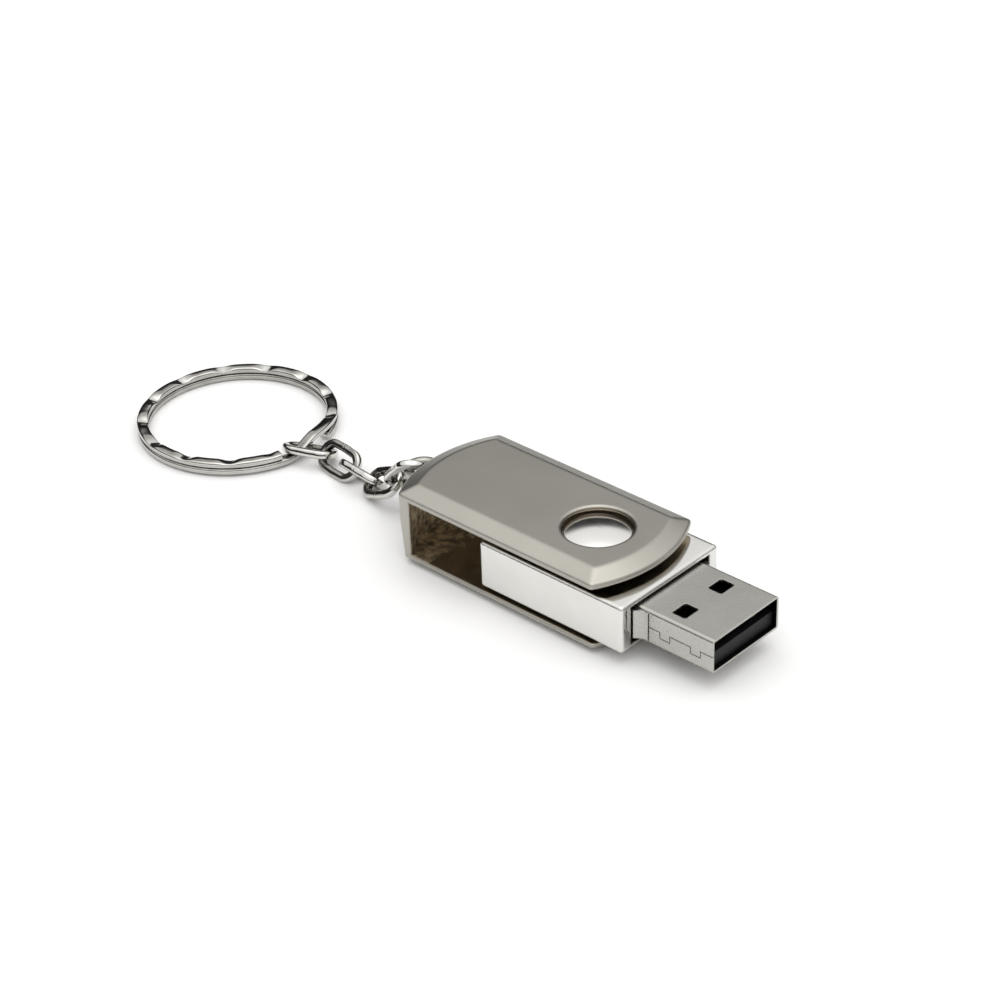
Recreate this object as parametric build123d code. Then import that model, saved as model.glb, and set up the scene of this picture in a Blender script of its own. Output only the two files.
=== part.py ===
"""Swivel USB flash drive on a key chain, one STEP file per piece.

A U-shaped cast cover carries a chromed drive body on two round pivot caps, so that the body turns through
a full circle between the cover's two plates. A five-link chain hangs from the eye at the closed end of the
cover and ends in a two-turn split ring.

Frame: millimetres, +Z up. The origin is on the surface that the cover lies on, straight below the pivot,
and +X points along the USB plug.
"""

import math
import os

from build123d import *

# --- swivel cover -------------------------------------------------------------------------------------
COVER_WIDTH = 18.1          # across the two open sides
COVER_HEIGHT = 10.45        # over both plates
COVER_BACK = 26.4           # pivot axis to the crown of the closed end
COVER_FRONT = 9.2           # pivot axis to the crown of the open end
PLATE_THICKNESS = 1.4        # lower plate, which the drive rests on
UPPER_PLATE_THICKNESS = 1.58
END_WALL = 1.5
END_ARC_RADIUS = 17.4       # both ends of the plates are flat arcs
CORNER_RADIUS = 0.6
FLAT_ROUNDING = 0.9         # where a plate's flat meets its bevel
BAND_ROUNDING = 0.22        # where a bevel meets the upright band
RIM_ROUNDING = 0.2          # mouths of the open sides and front
BEVEL_RUN = 2.1             # broad bevel round the outside of each plate
BEVEL_RISE = 0.85
END_WALL_LEAN = 0.7         # the end wall draws in towards the lower plate
END_WALL_LEAN_HEIGHT = 6.5
PIVOT_HOLE_RADIUS = 4.3
PIVOT_HOLE_ROUNDING = 0.35

# --- key chain eye, cast on the end wall --------------------------------------------------------------
EYE_HEIGHT = 6.8            # centre of the eye above the resting surface
EYE_THICKNESS = 1.5
EYE_HOLE_RADIUS = 1.35
EYE_RIM = 1.1               # metal left round the hole
EYE_REACH = 2.1            # outside of the end wall to the centre of the hole
EYE_EDGE_ROUNDING = 0.45

# --- drive body ---------------------------------------------------------------------------------------
BODY_LENGTH = 22.0
BODY_WIDTH = 17.5
BODY_HEIGHT = 6.33
BODY_FLOAT = 0.35           # gap between the body and the lower plate
HOUSING_SIDE_WALL = 1.6
HOUSING_FACE_WALL = 0.55    # top and bottom
HOUSING_REAR_WALL = 1.2
HOUSING_ROUNDING = 0.45

# --- pivot caps ---------------------------------------------------------------------------------------
PIVOT_CLEARANCE = 0.05      # radial, collar in the cover's hole
DOME_RADIUS = 3.93
DOME_RISE = 0.57
DOME_STEP = 0.15            # straight skirt under the dome
DOME_RECESS = 0.2           # dome's crown below the outside of the plate
SPIGOT_RADIUS = 3.0

# --- USB plug -----------------------------------------------------------------------------------------
PLUG_WIDTH = 12.0
PLUG_HEIGHT = 4.5
PLUG_SHEET = 0.3
PLUG_PROJECTION = 11.0      # beyond the front of the body
PLUG_ROUNDING = 0.45
WINDOW_WIDTH = 2.5
WINDOW_LENGTH = 2.0
WINDOW_ROUNDING = 0.3
WINDOW_PITCH = 6.5
WINDOW_SETBACK = 5.16       # front of the plug to the near edge of a window
SEAM_WIDTH = 0.1
SEAM_TAB_WIDTH = 1.35
SEAM_TAB_DEPTH = 0.85
SEAM_TAB_SETBACKS = (2.5, 6.95)
WING_LENGTH = 1.7           # flared roots of the plug's sides, in front of the body
WING_FLARE = 0.7
WING_MARGIN = 0.35          # below and above, inside the plug's height
WING_SLIT = 0.14             # parts each wing from the side of the plug
WING_HOLLOW = (0.4, 0.3)    # the concave side passes here: shares of the length and of the flare
CONTACT_THICKNESS = 0.15
CONTACT_WIDTH = 1.0
CONTACT_NOSE = 0.6          # share of the thickness rounded off at the front
CONTACT_PITCHES = {"contact_power": -3.5, "contact_data_minus": -1.0,
                   "contact_data_plus": 1.0, "contact_ground": 3.5}
POWER_CONTACT_SETBACK = 1.6
DATA_CONTACT_SETBACK = 2.6
TONGUE_SETBACK = 0.6
TONGUE_BLOCK_LENGTH = 5.4
CONTACT_TAIL = 1.5          # length of each contact that lies on the board
MOULDING_CLEARANCE = 0.05

# --- electronics --------------------------------------------------------------------------------------
BOARD_LENGTH = 16.4
BOARD_WIDTH = 13.6
BOARD_THICKNESS = 0.8
BOARD_TO_PLUG = 0.2
CARRIER_CLEARANCE = 0.1
CARRIER_RAIL = 1.0
CARRIER_LENGTH = 16.2
BOARD_CORNER_RADIUS = 0.5
CHIP_CHAMFER = 0.06         # share of a chip's shorter side
FLASH_SIZE = (11.0, 10.2, 1.0)
CONTROLLER_SIZE = (6.0, 6.0, 0.9)
CRYSTAL_SIZE = (3.2, 2.5, 0.8)
LED_SIZE = (1.6, 0.8, 0.6)
CAPACITOR_SIZE = (1.0, 0.5, 0.5)
RESISTOR_SIZE = (1.0, 0.5, 0.35)
PASSIVE_PITCH = 1.5
CRYSTAL_PLACE = (3.2, -3.4)     # from the board's rear edge, and across from its centre line
LED_PLACE = (2.2, 3.8)
RESISTORS_PLACE = (4.4, 2.2)
CAPACITORS_SETBACK = 3.2        # from the board's front edge

# --- chain and split ring -----------------------------------------------------------------------------
LINK_LENGTH = 7.72
LINK_WIDTH = 4.48
LINK_WIRE = 1.15
LINK_GAP = 0.08             # between two wires where they hook together
RING_DIAMETER = 26.6
RING_WIRE_WIDTH = 1.5       # radial
RING_WIRE_HEIGHT = 0.96     # one coil; two lie on each other
RING_ROUNDING = 0.25
RING_LIFT = 0.27             # hooked side above the resting surface
RAMP_START = -13            # degrees round the ring: where the lower coil starts to climb
RAMP_CREST = 10             # the last link's wire lies under the crest
RAMP_END = 48
RAMP_STEP = 3
CREST_RISE = 0.6            # above the upper coil, where the link's wire spreads the coils
LOWER_END = 21.5            # the lower coil's cut end
UPPER_END = 343             # the upper coil's cut end
HOOK_ANGLE = -2.3              # where the wire passes through the last link
RING_BITE = (-0.22, -0.17)  # and there, from the centre of the link's far arc: along the link, across it

# --- how the chain lies -------------------------------------------------------------------------------
# Degrees and millimetres. The first link lies in the eye: heading is the way it is drawn out of the hole
# (0 straight back, 90 to the left), pitch lifts it, twist turns it from upright, swing turns it in its own
# plane. Each next link hooks the end of the one before it: round is how far round that end, twist how far
# from square to it, swing how far it turns in its own plane. Slack is play left at the hook.
FIRST_LINK = {"heading": -46, "pitch": 8, "twist": -37, "swing": -74, "slack": 0.85}
LINK_TURNS = [
    {"round": 19, "twist": -15, "swing": 17, "slack": 0.00},
    {"round": 17, "twist": 4, "swing": -22, "slack": 0.55},
    {"round": 4, "twist": 5, "swing": -1, "slack": 0.60},
    {"round": 11, "twist": 19, "swing": 22, "slack": 0.00},
]


# --- values worked out from the ones above ------------------------------------------------------------
TOUCH = 1e-4                # two heights or places closer than this are the same
COVER_TOP_INSIDE = COVER_HEIGHT - UPPER_PLATE_THICKNESS
BODY_BOTTOM = PLATE_THICKNESS + BODY_FLOAT
BODY_TOP = BODY_BOTTOM + BODY_HEIGHT
BODY_FRONT = BODY_LENGTH / 2
BODY_MIDDLE = BODY_BOTTOM + BODY_HEIGHT / 2
CAVITY_BACK = -BODY_LENGTH / 2 + HOUSING_REAR_WALL
CAVITY_HALF_WIDTH = BODY_WIDTH / 2 - HOUSING_SIDE_WALL
CAVITY_BOTTOM = BODY_BOTTOM + HOUSING_FACE_WALL
CAVITY_TOP = BODY_TOP - HOUSING_FACE_WALL
PLUG_FRONT = BODY_FRONT + PLUG_PROJECTION
PLUG_BOTTOM = BODY_MIDDLE - PLUG_HEIGHT / 2
PLUG_TOP = BODY_MIDDLE + PLUG_HEIGHT / 2
BOARD_BACK = CAVITY_BACK + CARRIER_CLEARANCE + CARRIER_RAIL / 2
BOARD_FRONT = BOARD_BACK + BOARD_LENGTH
BOARD_TOP = BODY_MIDDLE
BOARD_BOTTOM = BOARD_TOP - BOARD_THICKNESS
TONGUE_TOP = BOARD_TOP      # the contacts lie on the tongue and on the board alike
PLUG_REAR = BOARD_FRONT + BOARD_TO_PLUG
WINDOW_CENTRE = PLUG_FRONT - WINDOW_SETBACK - WINDOW_LENGTH / 2
BOARD_MIDDLE = (BOARD_BACK + BOARD_FRONT) / 2
LINK_ARC = (LINK_WIDTH - LINK_WIRE) / 2
LINK_STRAIGHT = LINK_LENGTH - LINK_WIDTH


def block(low, high):
    """A box between two opposite corners."""
    size = [b - a for a, b in zip(low, high)]
    centre = [(a + b) / 2 for a, b in zip(low, high)]
    return Pos(*centre) * Box(*size)


def cover_outline(height, inset, lean):
    """The plates' outline at one height: two straight sides and two flat arcs, with rounded corners."""
    half = COVER_WIDTH / 2 - inset
    radius = END_ARC_RADIUS - inset
    sag = radius - math.sqrt(radius**2 - half**2)
    back = -COVER_BACK + inset + lean
    front = COVER_FRONT - inset
    sides = [
        Line((back + sag, -half), (front - sag, -half)),
        ThreePointArc((front - sag, -half), (front, 0), (front - sag, half)),
        Line((front - sag, half), (back + sag, half)),
        ThreePointArc((back + sag, half), (back, 0), (back + sag, -half)),
    ]
    face = make_face(sides)
    return Pos(0, 0, height) * fillet(face.vertices(), CORNER_RADIUS)


def cover_block():
    """The cover's outside as one solid: bevel, upright band, leaning end wall, band and bevel."""
    levels = [
        (0, BEVEL_RUN),
        (BEVEL_RISE, 0),
        (END_WALL_LEAN_HEIGHT, 0),
        (COVER_HEIGHT - BEVEL_RISE, 0),
        (COVER_HEIGHT, BEVEL_RUN),
    ]
    outlines = []
    for height, inset in levels:
        lean = END_WALL_LEAN * max(0, 1 - height / END_WALL_LEAN_HEIGHT)
        outlines.append(cover_outline(height, inset, lean))
    return loft(outlines, ruled=True)


def cover_hollow():
    """The space between the plates, open at both sides and at the front, bounded by the end wall."""
    arc_centre = -COVER_BACK + END_ARC_RADIUS
    radius = END_ARC_RADIUS - END_WALL
    reach = COVER_WIDTH
    height = COVER_TOP_INSIDE - PLATE_THICKNESS
    barrel = Cylinder(radius, height)
    room = Pos(arc_centre - radius / 2, 0, 0) * Box(radius, 2 * reach, height)
    ahead = Pos(arc_centre + reach, 0, 0) * Box(2 * reach, 2 * reach, height)
    hollow = (Pos(arc_centre, 0, 0) * barrel) & room
    return Pos(0, 0, PLATE_THICKNESS + height / 2) * (hollow + ahead)


def chain_eye():
    """The flat eye on the end wall: a rounded tab with an upright hole for the first link."""
    radius = EYE_HOLE_RADIUS + EYE_RIM
    centre = eye_centre()
    root = END_WALL / 2 + EYE_REACH
    tab = Cylinder(radius, EYE_THICKNESS)
    tab += Pos(root / 2, 0, 0) * Box(root, 2 * radius, EYE_THICKNESS)
    rim = tab.edges().filter_by(GeomType.CIRCLE)
    tab = fillet(rim, EYE_EDGE_ROUNDING)
    tab -= Cylinder(EYE_HOLE_RADIUS, 2 * EYE_THICKNESS)
    mouths = tab.edges().filter_by(GeomType.CIRCLE)
    mouths = [e for e in mouths if abs(e.radius - EYE_HOLE_RADIUS) < TOUCH]
    return Pos(*centre) * fillet(mouths, EYE_EDGE_ROUNDING)


def eye_centre():
    """Centre of the eye's hole."""
    lean = END_WALL_LEAN * max(0, 1 - EYE_HEIGHT / END_WALL_LEAN_HEIGHT)
    return Vector(-COVER_BACK + lean - EYE_REACH, 0, EYE_HEIGHT)


def level_edges(piece, *heights):
    """The edges that lie level at any of the given heights."""
    found = []
    for edge in piece.edges():
        box = edge.bounding_box()
        if any(abs(box.min.Z - z) < TOUCH and abs(box.max.Z - z) < TOUCH for z in heights):
            found.append(edge)
    return found


def eased_cover(cover):
    """The cover with its outside edges rounded: round the flats, along the bands and at the mouths."""
    cover = fillet(level_edges(cover, 0, COVER_HEIGHT), FLAT_ROUNDING)
    cover = fillet(level_edges(cover, BEVEL_RISE, COVER_HEIGHT - BEVEL_RISE), BAND_ROUNDING)
    side = COVER_WIDTH / 2 - TOUCH
    front = COVER_FRONT - END_ARC_RADIUS + math.sqrt(END_ARC_RADIUS**2 - side**2) - CORNER_RADIUS
    mouths = [e for e in level_edges(cover, PLATE_THICKNESS, COVER_TOP_INSIDE)
              if abs(e.center().Y) > side or e.center().X > front]
    mouths += [e for e in cover.edges().filter_by(Axis.Z) if abs(e.center().Y) > side and e.center().X < 0
               and e.length > COVER_HEIGHT / 2]
    return fillet(mouths, RIM_ROUNDING)


def swivel_cover():
    """U-shaped cover with a pivot hole through each plate and the chain eye on its closed end."""
    cover = eased_cover(cover_block() - cover_hollow())
    cover -= Pos(0, 0, COVER_HEIGHT / 2) * Cylinder(PIVOT_HOLE_RADIUS, 2 * COVER_HEIGHT)
    rims = [e for e in cover.edges().filter_by(GeomType.CIRCLE)
            if abs(e.radius - PIVOT_HOLE_RADIUS) < TOUCH
            and min(abs(e.center().Z), abs(e.center().Z - COVER_HEIGHT)) < TOUCH]
    cover = fillet(rims, PIVOT_HOLE_ROUNDING)
    return cover + chain_eye()


def body_housing():
    """Chromed sleeve of the drive: closed at the rear, open round the plug, a hole for each pivot cap."""
    half_length = BODY_LENGTH / 2
    half_width = BODY_WIDTH / 2
    shell = block((-half_length, -half_width, BODY_BOTTOM), (half_length, half_width, BODY_TOP))
    shell = fillet(shell.edges(), HOUSING_ROUNDING)
    shell -= block((CAVITY_BACK, -CAVITY_HALF_WIDTH, CAVITY_BOTTOM),
                   (half_length + 1, CAVITY_HALF_WIDTH, CAVITY_TOP))
    return shell - Pos(0, 0, BODY_MIDDLE) * Cylinder(SPIGOT_RADIUS, 2 * BODY_HEIGHT)


def pivot_cap(face, crown):
    """A turned cap: spigot in the housing's face, collar that turns in the plate, domed crown.

    face and crown are heights; the cap points up when the crown is the higher one.
    """
    out = 1 if crown > face else -1
    dome_foot = crown - out * DOME_RISE
    shoulder = dome_foot - out * DOME_STEP
    inside = face - out * HOUSING_FACE_WALL
    collar = PIVOT_HOLE_RADIUS - PIVOT_CLEARANCE
    sphere = (DOME_RADIUS**2 + DOME_RISE**2) / (2 * DOME_RISE)
    half_angle = math.asin(DOME_RADIUS / sphere) / 2
    waist = (sphere * math.sin(half_angle), crown - out * sphere * (1 - math.cos(half_angle)))
    steps = Polyline((0, crown - out * 2 * DOME_RISE), (0, inside), (SPIGOT_RADIUS, inside),
                     (SPIGOT_RADIUS, face), (collar, face), (collar, shoulder), (DOME_RADIUS, shoulder),
                     (DOME_RADIUS, dome_foot))
    dome = ThreePointArc((DOME_RADIUS, dome_foot), waist, (0, crown))
    axis_line = Line((0, crown), (0, crown - out * 2 * DOME_RISE))
    profile = Plane.XZ * make_face([*steps.edges(), dome, axis_line])
    return revolve(profile, Axis.Z)


def seam_cut():
    """The folded sheet's joint along one side of the plug, with two keyed tabs below the seam line."""
    depth = 2 * PLUG_SHEET
    side = -PLUG_WIDTH / 2
    start = BODY_FRONT + WING_LENGTH
    half = SEAM_TAB_WIDTH / 2
    stops = [start]
    for setback in sorted(SEAM_TAB_SETBACKS, reverse=True):
        stops += [PLUG_FRONT - setback - half, PLUG_FRONT - setback + half]
    stops.append(PLUG_FRONT + SEAM_WIDTH)
    foot = BODY_MIDDLE - SEAM_TAB_DEPTH
    cuts = []
    for left, right in zip(stops[0::2], stops[1::2]):
        cuts.append(block((left, side - depth, BODY_MIDDLE),
                          (right, side + depth, BODY_MIDDLE + SEAM_WIDTH)))
    for left, right in zip(stops[1::2], stops[2::2]):
        tab = block((left - SEAM_WIDTH, side - depth, foot),
                    (right + SEAM_WIDTH, side + depth, BODY_MIDDLE + SEAM_WIDTH))
        tab -= block((left, side - 2 * depth, foot + SEAM_WIDTH),
                     (right, side + 2 * depth, BODY_MIDDLE + 2 * SEAM_WIDTH))
        cuts.append(tab)
    return cuts


def plug_wing(side):
    """The flared root of one side of the plug, concave towards the front."""
    half = PLUG_WIDTH / 2
    front = BODY_FRONT + WING_LENGTH
    inner = half - PLUG_SHEET
    tip = half + WING_FLARE
    waist = (BODY_FRONT + WING_LENGTH * WING_HOLLOW[0], half + WING_FLARE * WING_HOLLOW[1])
    outline = [
        Line((front, half), (front, inner)),
        Line((front, inner), (BODY_FRONT - PLUG_SHEET, inner)),
        Line((BODY_FRONT - PLUG_SHEET, inner), (BODY_FRONT - PLUG_SHEET, tip)),
        Line((BODY_FRONT - PLUG_SHEET, tip), (BODY_FRONT, tip)),
        ThreePointArc((BODY_FRONT, tip), waist, (front, half)),
    ]
    low = PLUG_BOTTOM + WING_MARGIN
    high = PLUG_TOP - WING_MARGIN
    wing = extrude(Pos(0, 0, low) * make_face(outline), high - low)
    return wing if side > 0 else mirror(wing, Plane.XZ)


def plug_shell():
    """Folded sheet-metal shell of the USB plug, with four windows and a keyed seam on one side."""
    half = PLUG_WIDTH / 2
    outer = block((PLUG_REAR, -half, PLUG_BOTTOM), (PLUG_FRONT, half, PLUG_TOP))
    inner = block((PLUG_REAR - 1, -half + PLUG_SHEET, PLUG_BOTTOM + PLUG_SHEET),
                  (PLUG_FRONT + 1, half - PLUG_SHEET, PLUG_TOP - PLUG_SHEET))
    outer = fillet(outer.edges().filter_by(Axis.X), PLUG_ROUNDING)
    inner = fillet(inner.edges().filter_by(Axis.X), PLUG_ROUNDING - PLUG_SHEET)
    shell = outer - inner
    for across in (-WINDOW_PITCH / 2, WINDOW_PITCH / 2):
        window = Box(WINDOW_LENGTH, WINDOW_WIDTH, 2 * PLUG_HEIGHT)
        window = fillet(window.edges().filter_by(Axis.Z), WINDOW_ROUNDING)
        shell -= Pos(WINDOW_CENTRE, across, BODY_MIDDLE) * window
    for cut in seam_cut():
        shell -= cut
    for side in (-1, 1):
        shell += plug_wing(side)
    wing_front = BODY_FRONT + WING_LENGTH
    slit = block((wing_front - WING_SLIT, -PLUG_WIDTH, PLUG_BOTTOM + WING_MARGIN),
                 (wing_front, PLUG_WIDTH, PLUG_TOP - WING_MARGIN))
    return shell - slit


def plug_insulator():
    """Black moulding inside the shell: a block at the rear and the tongue that carries the contacts."""
    half = PLUG_WIDTH / 2 - PLUG_SHEET - MOULDING_CLEARANCE
    floor = PLUG_BOTTOM + PLUG_SHEET + MOULDING_CLEARANCE
    ceiling = PLUG_TOP - PLUG_SHEET - MOULDING_CLEARANCE
    rear = PLUG_REAR + MOULDING_CLEARANCE
    moulding = block((rear, -half, floor), (PLUG_FRONT - TONGUE_SETBACK, half, TONGUE_TOP))
    moulding += block((rear, -half, floor), (rear + TONGUE_BLOCK_LENGTH, half, ceiling))
    for across in CONTACT_PITCHES.values():
        reach = CONTACT_WIDTH / 2 + MOULDING_CLEARANCE
        moulding -= block((rear - 1, across - reach, TONGUE_TOP),
                          (PLUG_FRONT, across + reach, TONGUE_TOP + CONTACT_THICKNESS + MOULDING_CLEARANCE))
    return moulding


def plug_contact(across):
    """One sprung strip on the tongue, whose tail lies on the board. The outer pair reaches further out."""
    outer_pair = abs(across) > PLUG_WIDTH / 4 - CONTACT_WIDTH / 2
    setback = POWER_CONTACT_SETBACK if outer_pair else DATA_CONTACT_SETBACK
    half = CONTACT_WIDTH / 2
    strip = block((BOARD_FRONT - CONTACT_TAIL, across - half, TONGUE_TOP),
                  (PLUG_FRONT - setback, across + half, TONGUE_TOP + CONTACT_THICKNESS))
    nose = strip.edges().filter_by(Axis.Y).sort_by(Axis.X)[-2:].sort_by(Axis.Z)[-1]
    return fillet(nose, CONTACT_THICKNESS * CONTACT_NOSE)


def circuit_board():
    """The board that every chip sits on."""
    board = block((BOARD_BACK, -BOARD_WIDTH / 2, BOARD_BOTTOM), (BOARD_FRONT, BOARD_WIDTH / 2, BOARD_TOP))
    return fillet(board.edges().filter_by(Axis.Z), BOARD_CORNER_RADIUS)


def chip(size, along, across, above):
    """A chip of size (length, width, height) on the upper or lower face of the board."""
    length, width, height = size
    centre = BOARD_TOP + height / 2 if above else BOARD_BOTTOM - height / 2
    body = Pos(along, across, centre) * Box(length, width, height)
    return chamfer(body.edges().filter_by(Axis.Z), min(length, width) * CHIP_CHAMFER)


def chip_row(size, count, along, across):
    """Small identical chips in a row across the board, as separate solids."""
    first = across - (count - 1) * PASSIVE_PITCH / 2
    return Compound([chip(size, along, first + i * PASSIVE_PITCH, True) for i in range(count)])


def board_carrier(above):
    """Plastic rails round three edges of the board, above it or below it, that locate it in the housing."""
    back = CAVITY_BACK + CARRIER_CLEARANCE
    half = CAVITY_HALF_WIDTH - CARRIER_CLEARANCE
    low, high = (BOARD_TOP, CAVITY_TOP - CARRIER_CLEARANCE) if above \
        else (CAVITY_BOTTOM + CARRIER_CLEARANCE, BOARD_BOTTOM)
    frame = block((back, -half, low), (back + CARRIER_LENGTH, half, high))
    frame -= block((back + CARRIER_RAIL, -half + CARRIER_RAIL, low - 1),
                   (back + CARRIER_LENGTH + 1, half - CARRIER_RAIL, high + 1))
    return frame


def turned(first, second, degrees):
    """The unit direction reached by turning first towards second, which is square to it."""
    angle = math.radians(degrees)
    return first * math.cos(angle) + second * math.sin(angle)


def link_places():
    """Place every link: (near arc centre, direction along it, direction across it), eye to ring."""
    outward = Vector(-1, 0, 0)
    sideways = Vector(0, 1, 0)
    upright = Vector(0, 0, 1)
    flat = turned(outward, sideways, FIRST_LINK["heading"])
    pull = turned(flat, upright, FIRST_LINK["pitch"])
    wire_up = turned(upright, -flat, FIRST_LINK["pitch"])
    wire = turned(wire_up, pull.cross(wire_up), FIRST_LINK["twist"])
    slack = LINK_GAP + FIRST_LINK["slack"]
    hook = eye_centre() + flat * (EYE_HOLE_RADIUS - LINK_WIRE / 2 - slack)
    places = [(hook + pull * LINK_ARC, turned(pull, wire, FIRST_LINK["swing"]),
               turned(wire, -pull, FIRST_LINK["swing"]))]
    for turns in LINK_TURNS:
        near, along, across = places[-1]
        pull = turned(along, across, turns["round"])
        tangent = turned(across, -along, turns["round"])
        wire = turned(along.cross(across), tangent, turns["twist"])
        slack = LINK_GAP + turns["slack"]
        hook = near + along * LINK_STRAIGHT + pull * (LINK_ARC - LINK_WIRE - slack)
        places.append((hook + pull * LINK_ARC, turned(pull, wire, turns["swing"]),
                       turned(wire, -pull, turns["swing"])))
    return places


def chain_link(near, along, across):
    """One welded wire link: an oval of round wire with straight sides and half-round ends."""
    oval = SlotCenterToCenter(LINK_STRAIGHT, 2 * LINK_ARC).wire()
    path = Plane(origin=near + along * (LINK_STRAIGHT / 2), x_dir=along, z_dir=along.cross(across)) * oval
    section = Plane(origin=path @ 0, z_dir=path % 0) * Circle(LINK_WIRE / 2)
    return sweep(section, path)


def ring_section(angle, height):
    """The wire's cross-section in the upright plane at one angle round the ring."""
    middle = (RING_DIAMETER - RING_WIRE_WIDTH) / 2
    section = Plane.XZ * (Pos(middle, height) * Rectangle(RING_WIRE_WIDTH, RING_WIRE_HEIGHT))
    return Rot(0, 0, angle) * fillet(section.vertices(), RING_ROUNDING)


def eased(share):
    """A share from 0 to 1, eased at both ends."""
    share = min(max(share, 0), 1)
    return share * share * (3 - 2 * share)


def ring_rise(angle):
    """Height of the wire's centre between the coils: up to the crest, then down onto the lower coil."""
    climb = eased((angle - RAMP_START) / (RAMP_CREST - RAMP_START))
    settle = eased((angle - RAMP_CREST) / (RAMP_END - RAMP_CREST))
    return RING_WIRE_HEIGHT * (0.5 + climb) + CREST_RISE * (climb - settle)


def ring_coil(start, end, height):
    """A level stretch of the wire between two angles."""
    return revolve(ring_section(start, height), Axis.Z, end - start)


def split_ring(hook):
    """Two coils of flat wire lying on each other, joined by one ramp on which the chain hangs.

    hook is the centre of the wire where the last link holds it.
    """
    lower = ring_coil(LOWER_END, RAMP_START + 360, RING_WIRE_HEIGHT / 2)
    upper = ring_coil(RAMP_END, UPPER_END, RING_WIRE_HEIGHT * 1.5)
    steps = round((RAMP_END - RAMP_START) / RAMP_STEP)
    angles = [RAMP_START + (RAMP_END - RAMP_START) * i / steps for i in range(steps + 1)]
    ramp = loft([ring_section(angle, ring_rise(angle)) for angle in angles], ruled=True)
    ring = lower + ramp + upper
    return ring_seat(hook) * ring


def ring_seat(hook):
    """Where the ring lies: its far side on the surface and its hooked side lifted off it by the link."""
    middle = (RING_DIAMETER - RING_WIRE_WIDTH) / 2
    tilt = math.degrees(math.asin(RING_LIFT / RING_DIAMETER))
    turn = math.radians(HOOK_ANGLE)
    place = Pos(hook.X - middle * math.cos(turn), hook.Y - middle * math.sin(turn), 0)
    return place * Pos(-RING_DIAMETER / 2, 0, 0) * Rot(0, -tilt, 0) * Pos(RING_DIAMETER / 2, 0, 0)


def ring_hook(last_link):
    """Where the ring's wire passes through the last link."""
    near, along, across = last_link
    return near + along * (LINK_STRAIGHT + RING_BITE[0]) + across * RING_BITE[1]


def main():
    """Build every piece and write it to parts/NODE.step."""
    os.makedirs("parts", exist_ok=True)
    links = link_places()
    pieces = {
        "swivel_cover": swivel_cover(),
        "body_housing": body_housing(),
        "pivot_cap_top": pivot_cap(BODY_TOP, COVER_HEIGHT - DOME_RECESS),
        "pivot_cap_bottom": pivot_cap(BODY_BOTTOM, DOME_RECESS),
        "plug_shell": plug_shell(),
        "plug_insulator": plug_insulator(),
        "circuit_board": circuit_board(),
        "flash_memory_chip": chip(FLASH_SIZE, BOARD_MIDDLE, 0, False),
        "controller_chip": chip(CONTROLLER_SIZE, BOARD_MIDDLE, 0, True),
        "crystal_oscillator": chip(CRYSTAL_SIZE, BOARD_BACK + CRYSTAL_PLACE[0], CRYSTAL_PLACE[1], True),
        "activity_led": chip(LED_SIZE, BOARD_BACK + LED_PLACE[0], LED_PLACE[1], True),
        "capacitors": chip_row(CAPACITOR_SIZE, 5, BOARD_FRONT - CAPACITORS_SETBACK, 0),
        "resistors": chip_row(RESISTOR_SIZE, 4, BOARD_BACK + RESISTORS_PLACE[0], RESISTORS_PLACE[1]),
        "board_carrier_upper": board_carrier(True),
        "board_carrier_lower": board_carrier(False),
        "split_ring": split_ring(ring_hook(links[-1])),
    }
    for name, across in CONTACT_PITCHES.items():
        pieces[name] = plug_contact(across)
    for number, place in enumerate(links, start=1):
        pieces[f"chain_link_{number}"] = chain_link(*place)
    for name, piece in pieces.items():
        export_step(piece, f"parts/{name}.step")


main()
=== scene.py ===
"""Looks of a swivel USB flash drive on a key chain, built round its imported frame.

The sizes in the classes are millimetres, and meshes are made in metres. +Z is up, the origin lies under the
swivel axis on the surface that the drive rests on, and +X points along the USB plug.
"""

from __future__ import annotations

import logging
import math
from dataclasses import dataclass, field
from enum import Enum
from typing import NamedTuple

import bpy
import numpy as np
from mathutils import Matrix


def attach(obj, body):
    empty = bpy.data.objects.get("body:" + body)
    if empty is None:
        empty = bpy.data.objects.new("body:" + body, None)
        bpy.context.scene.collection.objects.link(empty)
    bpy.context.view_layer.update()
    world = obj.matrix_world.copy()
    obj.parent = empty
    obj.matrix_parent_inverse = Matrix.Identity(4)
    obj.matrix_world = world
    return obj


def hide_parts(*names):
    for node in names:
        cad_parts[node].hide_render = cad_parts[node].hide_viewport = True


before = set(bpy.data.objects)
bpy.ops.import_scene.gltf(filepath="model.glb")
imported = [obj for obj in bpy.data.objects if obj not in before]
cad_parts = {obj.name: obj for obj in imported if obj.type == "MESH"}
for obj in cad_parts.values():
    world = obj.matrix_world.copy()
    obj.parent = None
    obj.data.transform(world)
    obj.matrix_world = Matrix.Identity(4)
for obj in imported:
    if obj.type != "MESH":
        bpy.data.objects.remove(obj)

LOG = logging.getLogger("flash_drive")
MM = 0.001
# Name of the mesh attribute that carries painted shade and painted dark reflections.
PAINTED_SHADE = "painted_shade"
EDGE_SAMPLES = 6
Vector3 = np.ndarray
LinkPlace = tuple[Vector3, Vector3, Vector3]


class Slot(Enum):
    """The name of the material that the new pieces wear."""

    CHAIN = "chain_chrome"


class Ride(Enum):
    """The bodies that new pieces ride on; the links are numbered after this name."""

    LINK = "link_"
    RING = "ring"


class Pattern(NamedTuple):
    """Noise: its features' size in millimetres, octaves of finer noise, and stretch along each axis."""

    size: float
    detail: float = 2.0
    stretch: tuple = (1.0, 1.0, 1.0)


class Relief(NamedTuple):
    """Bump: its height in millimetres where the factor is 1, and its share of the effect."""

    depth: float
    strength: float = 1.0


class Start(NamedTuple):
    """How the first link leaves the eye: degrees aside, up, of twist and of swing, and slack in mm."""

    heading: float
    pitch: float
    twist: float
    swing: float
    slack: float


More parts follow.
